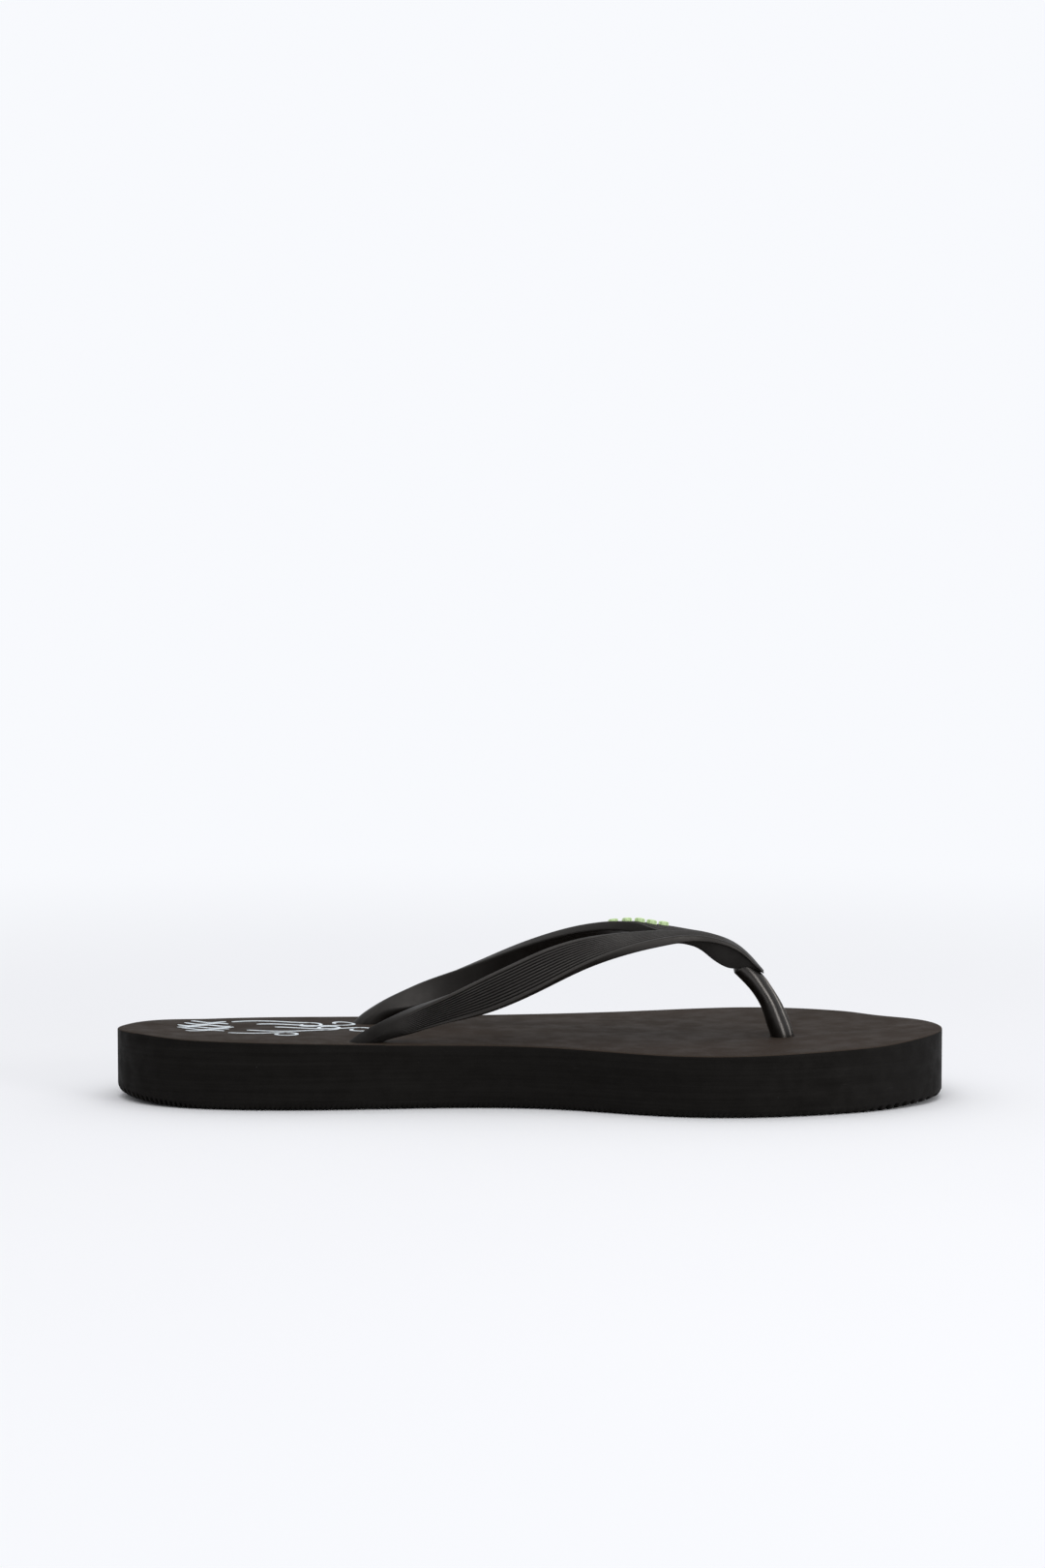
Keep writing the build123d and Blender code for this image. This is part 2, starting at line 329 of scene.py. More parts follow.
def make_footbed():
    """Upper foam sheet with a crisp cut edge."""
    xs = columns(np.arange(-HALF, HALF, 1.0))
    ring_x = np.concatenate([xs, xs[1:-1][::-1]])
    top = top_level(ring_x)
    zero = np.zeros(len(ring_x))
    rings = [perimeter(xs, zero, zero + GLUE_Z)]
    for share in (0.2, 0.4, 0.6, 0.8):
        rings.append(perimeter(xs, zero, GLUE_Z + (top - 0.5 - GLUE_Z) * share))
    for turn in np.linspace(0, 90, 5):
        c, s = cos(radians(turn)), sin(radians(turn))
        rings.append(perimeter(xs, zero + 0.45 * (1 - c), top - 0.45 * (1 - s) - 0.1))
    for inset, drop in ((1.0, 0.06), (2.0, 0.02)):
        rings.append(perimeter(xs, zero + inset, top - drop))

    def glued(x, y, column):
        return GLUE_Z + lift(x, y, GLUE_Z)

    def bed(x, y, column):
        return bed_level(x, y)

    return closed_sheet("footbed", xs, rings, glued, bed, 60)


# ---------------------------------------------------------------- strap
# Stations along the strap, from the stem in the sole over the bridge to its nose, and the strap's rims there.
KNOTS = (-62, -57, -52, -47.5, -43.3, -38, -31.6, -23, -14, -5, 4, 15.4, 27, 33, 39, 45, 50.7, 56.5, 62.4,
         66, 68.6, 70, 70.6)
MEDIAL_OUTER = (
    (-47.4, -24.0, 15.5), (-47.2, -24.0, 16.2), (-46.6, -24.0, 17.1), (-45.4, -24.0, 18.2),
    (-43.2, -24.2, 19.7), (-38, -24.6, 21.5), (-31.6, -25.4, 23.4), (-23, -26.6, 25.6),
    (-14, -27.6, 28.1), (-5, -28.0, 31.6), (4, -27.3, 35.8), (15.4, -25.6, 41.4), (27, -23.4, 45.7),
    (33, -22.0, 47.3), (39, -20.5, 48.5), (45, -18.8, 49.3), (50.7, -17.0, 49.3), (56.5, -16.0, 48.3),
    (62.4, -14.9, 45.8), (66, -13.9, 42.9), (68.6, -12.6, 40.1), (70, -11.2, 38.8), (70.6, -9.9, 38.1),
)
MEDIAL_INNER = (
    (-53.6, -24.0, 15.5), (-54.7, -24.0, 16.9), (-54.0, -24.3, 19.2), (-49.4, -24.8, 22.6),
    (-43.6, -25.6, 25.7), (-38, -26.3, 28.2), (-31.6, -26.3, 30.8), (-23, -25.2, 34.1),
    (-14, -23.6, 38.2), (-5, -21.8, 42.1), (4, -19.8, 45.8), (15.4, -16.8, 48.7), (27, -13.2, 49.4),
    (33, -11.1, 49.2), (39, POST_Y, 49.1), (45, POST_Y, 49.0), (50.7, POST_Y, 48.7),
    (56.5, POST_Y, 47.5), (62.4, POST_Y, 45.1), (66, POST_Y, 42.4), (68.6, POST_Y, 40.0),
    (70, POST_Y, 38.7), (70.6, POST_Y, 38.1),
)
LATERAL_OUTER = (
    (-47.4, 17.0, 15.5), (-47.2, 17.0, 16.2), (-46.6, 16.8, 17.1), (-45.4, 16.4, 18.4),
    (-43.2, 15.9, 20.2), (-38, 15.8, 22.1), (-31.6, 16.5, 24.2), (-23, 17.8, 26.1), (-14, 18.7, 28.5),
    (-5, 18.7, 31.9), (4, 17.4, 36.4), (15.4, 13.6, 42.4), (27, 8.8, 46.8), (33, 6.2, 48.2),
    (39, 3.6, 48.9), (45, 1.2, 48.9), (50.7, -1.0, 48.4), (56.5, -2.0, 47.4), (62.4, -3.1, 45.1),
    (66, -4.1, 42.2), (68.6, -5.4, 39.8), (70, -6.8, 38.7), (70.6, -8.1, 38.1),
)
LATERAL_INNER = (
    (-53.6, 17.0, 15.5), (-54.7, 17.2, 16.9), (-54.2, 17.7, 19.3), (-49.6, 18.5, 23.0),
    (-43.6, 19.5, 26.1), (-38, 20.0, 28.4), (-31.6, 20.0, 31.3), (-23, 19.0, 34.95), (-14, 16.9, 38.8),
    (-5, 13.9, 42.8), (4, 10.6, 46.3), (15.4, 5.2, 49.8), (27, -1.5, 51.4), (33, -5.2, 50.8),
    (39, POST_Y, 49.1), (45, POST_Y, 49.0), (50.7, POST_Y, 48.7), (56.5, POST_Y, 47.5),
    (62.4, POST_Y, 45.1), (66, POST_Y, 42.4), (68.6, POST_Y, 40.0), (70, POST_Y, 38.7),
    (70.6, POST_Y, 38.1),
)
CROTCH = 39.0
RIM_HALF = ((-62, 3.1), (-52, 3.0), (-43.3, 2.6), (-31.6, 1.9), (-14, 1.4), (27, 1.35), (39, 1.3),
            (50.7, 1.0), (56.5, 0.8), (62.4, 0.7), (66, 0.65), (68.6, 0.5), (70, 0.4), (70.6, 0.25))
ABOVE = ((-62, 3.1), (-52, 3.0), (-43.3, 2.6), (-31.6, 1.9), (-14, 1.4), (20, 1.35), (33, 1.7), (39, 1.85),
         (62.4, 1.8), (66, 1.6), (68.6, 1.2), (70, 0.8), (70.6, 0.35))
BELOW = ((-62, 3.1), (-52, 3.0), (-43.3, 2.6), (-31.6, 1.9), (-14, 1.4), (27, 1.4), (39, 1.7),
         (45, 2.0), (50.7, 2.9), (53.5, 4.9), (56.5, 6.6), (60.2, 7.2), (62.4, 5.8), (66, 2.6),
         (68.6, 1.1), (70, 0.7), (70.6, 0.4))
CORNER = 0.5
GROOVES = 10
GROOVE_DEPTH = 0.6
FACE_POINTS = 110
EDGE_POINTS = 9
UNDER_POINTS = 22


def read(table, u):
    """Straight-line reading of a two-column table, softened at its corners."""
    x, v = np.array(table).T
    return sum(np.interp(u + d, x, v) for d in (-1.6, -0.8, 0, 0.8, 1.6)) / 5


def stations():
    """Where the strap's sections stand."""
    neck = np.arange(-62, -31.6, 0.8)
    arm = np.linspace(-31.6, CROTCH, 118)
    bridge = np.linspace(CROTCH, 66, 46)
    nose = 66 + 4.6 * (1 - (1 - np.linspace(0, 1, 16)) ** 1.6)
    return np.concatenate([neck, arm, bridge[1:], nose[1:]])


def groove_reach(u):
    """Where along the strap its face is grooved."""
    return ease(-40, -28, u) * (1 - ease(50, 61, u))


def groove_wave(q):
    """Depth share of the lengthwise grooves across the face, between a plain rail and the upper rim."""
    panel = ease(0.015, 0.04, q) * (1 - ease(0.945, 0.97, q))
    wave = 0.5 - 0.5 * np.cos(2 * pi * GROOVES * np.clip((q - 0.03) / 0.925, 0, 1))
    return panel * (0.1 + 0.9 * wave**2)


def strap_sections(outer, inner, side, crown, grow=0.0, grooved=True):
    """Section rings of one half of the strap, side -1 for the inner arm and 1 for the outer."""
    u = stations()
    rim_o, rim_i = spline(KNOTS, outer, u), spline(KNOTS, inner, u)
    rim_i[u >= CROTCH, 1] = POST_Y
    chord = rim_i - rim_o
    width = np.linalg.norm(chord, axis=1)
    c = unit(chord)
    run = unit(np.gradient((rim_o + rim_i) / 2, axis=0))
    level = ease(-43.3, -31.6, u)[:, None]
    run = unit(run * (1 - level) + np.array([[1.0, 0, 0]]) * level)
    n = unit(np.cross(run, c) * -side)
    half_o = read(RIM_HALF, u) + grow
    above = read(ABOVE, u) + grow
    below = read(BELOW, u) + grow
    open_rim = 1 - ease(24, CROTCH, u)
    flat = ease(-47, -33, u)
    corner = CORNER + grow
    round_o = np.minimum(half_o * (1 - flat) + corner * flat, 0.48 * width)
    round_i = np.minimum(above * (1 - flat) + corner * flat, 0.48 * width) * open_rim
    relief = groove_reach(u) * grooved
    q = np.linspace(0, 1, FACE_POINTS)
    groove = GROOVE_DEPTH * groove_wave(q)
    skirt = ease(0.0, 0.32, np.linspace(0, 1, UNDER_POINTS))
    bossy = ease(42, 51, u)
    rings = []
    for k in range(len(u)):
        vertical = float(ease(24, CROTCH, u[k]))
        o = rim_o[k] - c[k] * grow
        length = width[k] + grow * (1 + open_rim[k])

        def point(a, h, lean):
            way = unit(n[k] * (1 - lean) + np.array([0, 0, 1.0]) * lean)
            return o + c[k] * a + way * h

        ring = []
        span = length - round_o[k] - round_i[k]
        for i, share in enumerate(q):
            h = half_o[k] + (above[k] - half_o[k]) * share + crown[k] * 4 * share * (1 - share)
            ring.append(point(round_o[k] + span * share, h - relief[k] * groove[i], vertical * share))
        level_edge = np.linspace(above[k], -below[k], EDGE_POINTS + 2)[1:-1]
        for j, (deep, h) in enumerate(edge(round_i[k], above[k], below[k], flat[k])):
            h = h * open_rim[k] + level_edge[j] * (1 - open_rim[k])
            ring.append(point(length - deep, h, vertical))
        for i in range(UNDER_POINTS - 1, -1, -1):
            share = i / (UNDER_POINTS - 1)
            drop = share * (1 - bossy[k]) + skirt[i] * bossy[k]
            h = half_o[k] + (below[k] - half_o[k]) * drop
            ring.append(point(round_o[k] + span * share, -h, vertical * share))
        for deep, h in reversed(edge(round_o[k], half_o[k], half_o[k], flat[k])):
            ring.append(point(deep, h, 0))
        rings.append(np.array(ring))
    return u, rings


def edge(radius, up, down, flat):
    """Points (depth, height) around a rim from outer to inner face, round or flat with rounded corners."""
    points = []
    for turn in (75, 50, 25, 6, 0, -6, -25, -50, -75):
        c, s = cos(radians(turn)), sin(radians(turn))
        high = up if turn >= 0 else down
        round_one = (radius * (1 - c), s * high)
        sign = 1 if turn > 0 else -1
        turn_flat = radians({75: 67, 50: 45, 25: 23, 6: 2, 0: 0}[abs(turn)])
        tight = min(radius, high)
        flat_one = (radius * (1 - cos(turn_flat)), sign * (high - tight + tight * sin(turn_flat)))
        if turn == 0:
            flat_one = (0, (up - down) / 2)
        points.append(tuple(a * (1 - flat) + b * flat for a, b in zip(round_one, flat_one)))
    return points


def tube_faces(rings, start, skip=lambda k, i: False):
    """Faces of a tube of rings whose first point is number start, closed at both ends."""
    m = len(rings[0])
    faces = []
    for k in range(len(rings) - 1):
        for i in range(m):
            j = (i + 1) % m
            if not skip(k, i):
                a, b = start + k * m, start + (k + 1) * m
                faces.append((a + i, a + j, b + j, b + i))
    faces.append(tuple(start + i for i in range(m)))
    faces.append(tuple(start + (len(rings) - 1) * m + i for i in range(m)))
    return faces


def crowns():
    """Outward bulge of the strap's two halves along the stations."""
    u = stations()
    medial = 0.5 + 0.3 * ease(15, 36, u) * (1 - ease(42, 54, u)) - 0.35 * ease(50, 66, u)
    lateral = 0.5 + 1.0 * ease(22, 36, u) * (1 - ease(38, 50, u)) - 0.35 * ease(50, 66, u)
    ends = ease(-50, -36, u)
    return medial * ends, lateral * ends


def make_strap():
    """Both arms and the bridge as one skin, welded along the bridge's middle."""
    medial_crown, lateral_crown = crowns()
    verts, faces, hollow_and_painted_shade = [], [], []
    for outer, inner, side, crown in (
        (MEDIAL_OUTER, MEDIAL_INNER, -1, medial_crown),
        (LATERAL_OUTER, LATERAL_INNER, 1, lateral_crown),
    ):
        u, rings = strap_sections(outer, inner, side, crown)

        def inside(k, i):
            return u[k] >= CROTCH - 1e-6 and FACE_POINTS - 1 <= i < FACE_POINTS + EDGE_POINTS

        faces += tube_faces(rings, len(verts), inside)
        verts += list(np.concatenate(rings))
        depth = np.zeros((len(rings), len(rings[0])))
        # Painted shade: darker colour in the grooves, at the near arm's foot, along the cap's rim and below
        # the bridge, where shade falls; the same mark makes these places duller
        shade = groove_reach(u) * (1 - 0.45 * ease(-15, 15, u))
        depth[:, :FACE_POINTS] = shade[:, None] * groove_wave(np.linspace(0, 1, FACE_POINTS))
        if side < 0:
            depth += (0.65 * (1 - ease(-48, -26, u)))[:, None]
        below = FACE_POINTS + EDGE_POINTS
        depth[:, FACE_POINTS:below] += (0.6 * ease(44, 52, u))[:, None]
        depth[:, below:below + UNDER_POINTS] = ease(40, 49, u)[:, None]
        hollow_and_painted_shade += list(depth.ravel())
    return new_mesh("strap", verts, faces, weld=True, sharp=50, hollow_and_painted_shade=hollow_and_painted_shade)


def neck_cutter(outer, inner, side):
    """The room that a strap arm's neck takes in the foam."""
    u, rings = strap_sections(outer, inner, side, crowns()[0] * 0, grow=0.12)
    low = np.array(rings[0]) - [0, 0, 1.2]
    return new_mesh("neck_room", np.concatenate([low, *rings[:34]]), tube_faces([low] + rings[:34], 0))


# ---------------------------------------------------------------- toe post
POST = (  # X, Z, radius along the foot, radius across
    (76.3, 15.5, 2.95, 3.4), (75.8, 19.1, 3.0, 3.5), (74.3, 23.5, 2.95, 3.45), (72.8, 27.6, 2.75, 3.35),
    (71.0, 31.1, 2.65, 3.25), (68.7, 34.6, 2.75, 3.3), (66.5, 37.4, 3.0, 3.4), (64.7, 39.2, 3.0, 3.4),
    (63.2, 40.6, 2.9, 3.3), (62.2, 41.6, 2.6, 3.1),
)


def post_outline(grow, fin):
    """Oval section of the post as (along, across) shares and additions, with its front parting ridge."""
    front = np.concatenate([[0, 0.06, 0.11, 0.14, 0.17, 0.20, 0.25, 0.30], np.linspace(0.36, pi, 34)])
    turns = np.concatenate([front, 2 * pi - front[1:-1][::-1]])
    ridge = 1 - ease(0.11, 0.17, abs(np.sin(turns)))
    # This share is a real shallow dip beside the parting ridge, shaped into the post, with no painted shade
    hollow_and_painted_shade = ease(0.14, 0.19, abs(np.sin(turns))) * (1 - ease(0.22, 0.33, abs(np.sin(turns))))
    extra = np.where(np.cos(turns) > 0, fin * ridge - (0.22 * hollow_and_painted_shade if grow == 0 else 0), 0)
    return np.cos(turns), np.sin(turns), extra


STRAP_PIVOT, FLEX_PIVOT, FOOT_PIVOT = (-50, 19.5), (45, 18.85), (76.6, 19.4)  # X, Z of the crosswise axes
STRAP_SHARE, POST_SHARE = 0.275, -1.04  # turn of strap and post for each degree of the sole's bend


def swing(points, pivot, degrees):
    """Points turned about a crosswise axis, toe end upwards."""
    c, s = cos(radians(degrees)), sin(radians(degrees))
    x, z = points[:, 0] - pivot[0], points[:, 2] - pivot[1]
    return np.column_stack([pivot[0] + x * c - z * s, points[:, 1], pivot[1] + x * s + z * c])


def seen_from_strap(points, flex):
    """Where points of the post lie beside the strap when the sole is bent by flex degrees."""
    points = swing(points, FOOT_PIVOT, POST_SHARE * flex)
    points = swing(points, FLEX_PIVOT, flex)
    return swing(points, STRAP_PIVOT, -STRAP_SHARE * flex)


def make_post(name="toe_post_skin", grow=0.0, flex=0.0):
    """Bent oval post with the mould's parting ridge down its front."""
    table = np.array(POST)
    t = np.concatenate([[0], np.cumsum(np.hypot(*np.diff(table[:, :2], axis=0).T))])
    at = np.linspace(-0.6 * (grow > 0), t[-1], 84)
    line = spline(t, table, at)
    run = unit(np.gradient(line[:, :2], axis=0))
    rings = []
    for k, (x, z, r_long, r_wide) in enumerate(line):
        forward = np.array([run[k, 1], -run[k, 0]])
        rounded = min(1.0, (len(line) - 1 - k) / 7 + 0.15) ** 0.5
        fin = float(0.95 * ease(14.5, 17.5, z) * (1 - 0.5 * ease(22, 34, z)) * (1 - ease(33.5, 36.8, z)))
        c, s, extra = post_outline(grow, fin)
        along = (r_long + grow) * c * rounded + extra + grow * (extra > 0)
        across = (r_wide + grow) * s * rounded
        ring = np.column_stack([x + forward[0] * along, POST_Y + across, z + forward[1] * along])
        rings.append(seen_from_strap(ring, flex))
    return new_mesh(name, np.concatenate(rings), tube_faces(rings, 0), sharp=40)


# ---------------------------------------------------------------- plugs
def make_plug(name, x, y):
    """Moulded disc with a raised rim and rings, and the stem above it."""
    profile = [
        (0, 1.95), (1.1, 1.95), (1.35, 1.75), (1.6, 1.45), (2.0, 1.35), (2.6, 1.35), (2.9, 1.5), (3.1, 1.75),
        (4.3, 1.75), (4.5, 1.55), (4.8, 1.4), (5.9, 1.3), (6.5, 1.4), (6.85, 1.7), (7.0, 2.1), (7.0, 3.0),
        (6.85, 3.45), (6.5, 3.72), (6.0, 3.8), (4.3, 3.8), (3.8, 4.0), (3.5, 4.5), (3.45, 8.0), (3.4, 12.0),
        (3.4, 14.7), (3.2, 15.05), (2.8, 15.2), (0, 15.2),
    ]
    return lathe(name, profile, x, y)


def plug_room(x, y):
    """The recess and hole that a plug takes in the foam."""
    profile = [(0, -3), (7.9, -3), (7.6, 0.6), (7.55, 3.9), (3.62, 3.9), (3.62, 15.4), (0, 15.4)]
    return lathe("plug_room", profile, x, y, segments=96)


# ---------------------------------------------------------------- badge and print
# X of each bar and its place across the face as a share; then a bar's half sizes in the same terms
BADGE_PLACES = ((25.4, 0.73), (29.6, 0.68), (33.4, 0.58), (37.0, 0.47), (40.6, 0.37))
BADGE_HALF = (1.5, 0.17)


def on_face(grid, along, share):
    """Point of the strap's outer face at a place between its sections and across it."""
    k, m = int(along), int(share * (FACE_POINTS - 1))
    a, b = along - k, share * (FACE_POINTS - 1) - m
    low = grid[k, m] * (1 - a) + grid[k + 1, m] * a
    high = grid[k, m + 1] * (1 - a) + grid[k + 1, m + 1] * a
    return low * (1 - b) + high * b


def bar_rows(grid, u, place, rows, cols):
    """Upper and lower points of one rounded bar that lies across the strap's face."""
    slope_along, slope_across = np.gradient(grid, axis=0), np.gradient(grid, axis=1)
    top, low = [], []
    for i in range(rows + 1):
        for j in range(cols + 1):
            a, b = 2 * i / rows - 1, 2 * j / cols - 1
            round_end = 1 - 0.5 * max(0, abs(b) - 0.86) / 0.14 * abs(a)
            along = float(np.interp(place[0] + BADGE_HALF[0] * a * round_end, u, np.arange(len(u))))
            share = place[1] + BADGE_HALF[1] * b * (1 - 0.16 * abs(b) ** 8 * a**2)
            seat = on_face(grid, along, share)
            normal = unit(np.cross(slope_across[int(along), 50], slope_along[int(along), 50]))
            normal = normal if normal[2] > 0 else -normal
            rim = max(abs(a) ** 4, abs(b) ** 14)
            top.append(seat + normal * (1.05 - 0.35 * rim))
            low.append(seat - normal * 0.9)
    return top, low


def make_badge(rows=12, cols=36):
    """Row of raised rounded bars on the outer arm, seated in its ribbed face."""
    u, rings = strap_sections(LATERAL_OUTER, LATERAL_INNER, 1, crowns()[1], grooved=False)
    grid = np.array(rings)[:, :FACE_POINTS]
    verts, faces = [], []
    for place in BADGE_PLACES:
        top, low = bar_rows(grid, u, place, rows, cols)
        base, w, size = len(verts), cols + 1, len(top)
        verts += top + low
        for i in range(rows):
            for j in range(cols):
                a = base + i * w + j
                faces.append((a, a + 1, a + w + 1, a + w))
                faces.append((a + size, a + size + w, a + size + w + 1, a + size + 1))
        border = [i * w for i in range(rows + 1)] + [rows * w + j for j in range(1, w)]
        border += [i * w + cols for i in range(rows - 1, -1, -1)] + list(range(cols - 1, 0, -1))
        for a, b in zip(border, border[1:] + border[:1]):
            faces.append((base + a, base + b, base + size + b, base + size + a))
    return new_mesh("badge_bars", verts, faces, sharp=50)


def ribbon(points, width, verts, faces):
    """A thin printed line along points, laid on the footbed."""
    t = np.concatenate([[0], np.cumsum(np.linalg.norm(np.diff(points, axis=0), axis=1))])
    line = spline(t, points, np.linspace(0, t[-1], max(12, int(t[-1] / 0.5))))
    run = unit(np.gradient(line, axis=0))
    side = np.stack([-run[:, 1], run[:, 0]], axis=1)
    n = len(line)
    taper = np.minimum(1, np.minimum(np.arange(n), np.arange(n)[::-1]) / 3 + 0.35)[:, None]
    start = len(verts)
    for edge, height in ((-1, 0.10), (1, 0.10), (1, -0.03), (-1, -0.03)):
        plan = line + side * edge * width / 2 * taper
        z = bed_level(plan[:, 0], plan[:, 1]) + height
        verts += list(np.column_stack([plan, z]))
    for k in range(n - 1):
        for a in range(4):
            b = (a + 1) % 4
            faces.append((start + a * n + k, start + a * n + k + 1, start + b * n + k + 1, start + b * n + k))
    for k in (0, n - 1):
        faces.append(tuple(start + a * n + k for a in range(4)))


def make_print():
    """Abstract line art on the heel: a tight patch of ripples, then long waves that end in curls."""
    verts, faces = [], []
    for i in range(6):
        xs = np.linspace(-108.5 + 1.6 * abs(i - 2.4), -90.5 - 1.1 * abs(i - 3), 14)
        ripple = 1.3 * np.sin(xs / 1.9 + 1.7 * i)
        ribbon(np.column_stack([xs, 14.5 - 3.9 * i + ripple]), 1.3, verts, faces)
    for i, (start, stop) in enumerate(((-92, -68), (-84, -58), (-78, -52), (-86, -62), (-91, -74))):
        xs = np.linspace(start, stop, 12)
        y = 15.0 - 6.3 * i + 1.9 * np.sin((xs - start) / 5.2 + 0.9 * i)
        ribbon(np.column_stack([xs, y]), 1.25, verts, faces)
        turns = np.linspace(0, 1.7 * pi, 16)
        radius = 4.6 * (1 - 0.55 * turns / turns[-1])
        way = 1 if i % 2 else -1
        rise = way * (4.6 - radius * np.cos(turns))
        curl = np.column_stack([xs[-1] + radius * np.sin(turns), y[-1] + rise])
        ribbon(curl, 1.05, verts, faces)
    return new_mesh("heel_line_art", verts, faces, sharp=30)


# ---------------------------------------------------------------- materials
BACKDROP = (0.94, 0.953, 0.985)


class Nodes:
    """Small helper to wire a material's nodes."""

    def __init__(self, name):
        self.material = bpy.data.materials.new(name)
        self.material.use_nodes = True
        self.tree = self.material.node_tree
        self.shader = self.tree.nodes["Principled BSDF"]
        self.place = self.new("ShaderNodeTexCoord").outputs["Object"]

    def new(self, kind, **values):
        node = self.tree.nodes.new(kind)
        for key, value in values.items():
            setattr(node, key, value)
        return node

    def link(self, a, b):
        self.tree.links.new(a, b)

    def scaled(self, scale):
        """Object coordinates scaled along each axis."""
        node = self.new("ShaderNodeMapping")
        node.inputs["Scale"].default_value = scale
        self.link(self.place, node.inputs["Vector"])
        return node.outputs["Vector"]

    def noise(self, scale, detail=3, rough=0.55, stretch=(1, 1, 1)):
        """Noise whose grain is about 1/scale metres."""
        node = self.new("ShaderNodeTexNoise")
        node.inputs["Scale"].default_value = scale
        node.inputs["Detail"].default_value = detail
        node.inputs["Roughness"].default_value = rough
        self.link(self.scaled(stretch), node.inputs["Vector"])
        return node.outputs["Fac"]

    def cells(self, scale, feature="F1", stretch=(1, 1, 1)):
        """Distance to the nearest of scattered points."""
        node = self.new("ShaderNodeTexVoronoi", feature=feature)
        node.inputs["Scale"].default_value = scale
        self.link(self.scaled(stretch), node.inputs["Vector"])
        return node.outputs["Distance"]

    def ramp(self, value, low, high, to_low=0.0, to_high=1.0):
        """Maps a value from one range to another, clamped."""
        node = self.new("ShaderNodeMapRange", interpolation_type="SMOOTHSTEP")
        for key, number in zip(("From Min", "From Max", "To Min", "To Max"), (low, high, to_low, to_high)):
            node.inputs[key].default_value = number
        self.link(value, node.inputs["Value"])
        return node.outputs["Result"]

    def math(self, operation, a, b):
        """A Math node of two values or numbers."""
        node = self.new("ShaderNodeMath", operation=operation)
        for socket, value in zip(node.inputs, (a, b)):
            if isinstance(value, (int, float)):
                socket.default_value = value
            else:
                self.link(value, socket)
        return node.outputs[0]

    def mix(self, share, a, b):
        """Colour between a and b."""
        node = self.new("ShaderNodeMix", data_type="RGBA")
        self.link(share, node.inputs["Factor"])
        for socket, value in ((node.inputs[6], a), (node.inputs[7], b)):
            if isinstance(value, tuple):
                socket.default_value = (*value, 1)
            else:
                self.link(value, socket)
        return node.outputs[2]

    def bump(self, height, strength, distance, below=None):
        """Bump from a height, on top of another bump."""
        node = self.new("ShaderNodeBump")
        node.inputs["Strength"].default_value = strength
        node.inputs["Distance"].default_value = distance
        self.link(height, node.inputs["Height"])
        if below is not None:
            self.link(below, node.inputs["Normal"])
        return node.outputs["Normal"]

    def edge(self, radius):
        """How far the surface turns within a radius: near 1 on edges, 0 on flat parts."""
        bevel = self.new("ShaderNodeBevel", samples=4)
        bevel.inputs["Radius"].default_value = radius
        plain = self.new("ShaderNodeNewGeometry").outputs["Normal"]
        node = self.new("ShaderNodeVectorMath", operation="DOT_PRODUCT")
        self.link(bevel.outputs["Normal"], node.inputs[0])
        self.link(plain, node.inputs[1])
        return self.ramp(node.outputs["Value"], 0.99, 0.80)

    def finish(self, colour, roughness, normal, specular, tint=(1.0, 1.0, 1.0)):
        """Joins the values to the shader."""
        self.link(colour, self.shader.inputs["Base Color"])
        self.link(roughness, self.shader.inputs["Roughness"])
        self.link(normal, self.shader.inputs["Normal"])
        self.shader.inputs["Specular IOR Level"].default_value = specular
        self.shader.inputs["Specular Tint"].default_value = (*tint, 1)
        return self.material


def footbed_material():
    """Smooth closed-cell foam on the upward faces: brown grey, partly its own colour and partly painted
    light, faintly mottled, fine pores, a few specks of dust.
    """
    m = Nodes("footbed_foam")
    cloud = m.ramp(m.noise(55, 4, 0.6), 0.3, 0.72)
    colour = m.mix(cloud, (0.0315, 0.0230, 0.0172), (0.0370, 0.0272, 0.0208))
    patch = m.ramp(m.noise(16, 3, 0.5, (0.6, 1, 1)), 0.42, 0.75)
    colour = m.mix(patch, colour, (0.0395, 0.0284, 0.0222))
    dust = m.ramp(m.cells(240), 0.035, 0.02)
    rare = m.ramp(m.noise(90, 1), 0.64, 0.70)
    colour = m.mix(m.math("MULTIPLY", dust, rare), colour, (0.30, 0.28, 0.25))
    scratch = m.ramp(m.noise(420, 1, 0.4, (0.05, 1, 1)), 0.765, 0.80)
    colour = m.mix(m.math("MULTIPLY", scratch, 0.18), colour, (0.11, 0.10, 0.09))
    worn = m.edge(0.0012)
    colour = m.mix(m.math("MULTIPLY", worn, 0.5), colour, (0.060, 0.052, 0.046))
    pores = m.cells(2600)
    normal = m.bump(m.ramp(pores, 0.0, 0.35), 0.22, 0.00006)
    normal = m.bump(m.noise(900, 4, 0.6), 0.35, 0.00012, normal)
    normal = m.bump(m.noise(40, 2), 0.10, 0.0006, normal)
    rough = m.ramp(m.noise(140, 3), 0.3, 0.7, 0.56, 0.72)
    m.finish(colour, rough, normal, 0.06, (1.0, 0.90, 0.80))
    return m.material


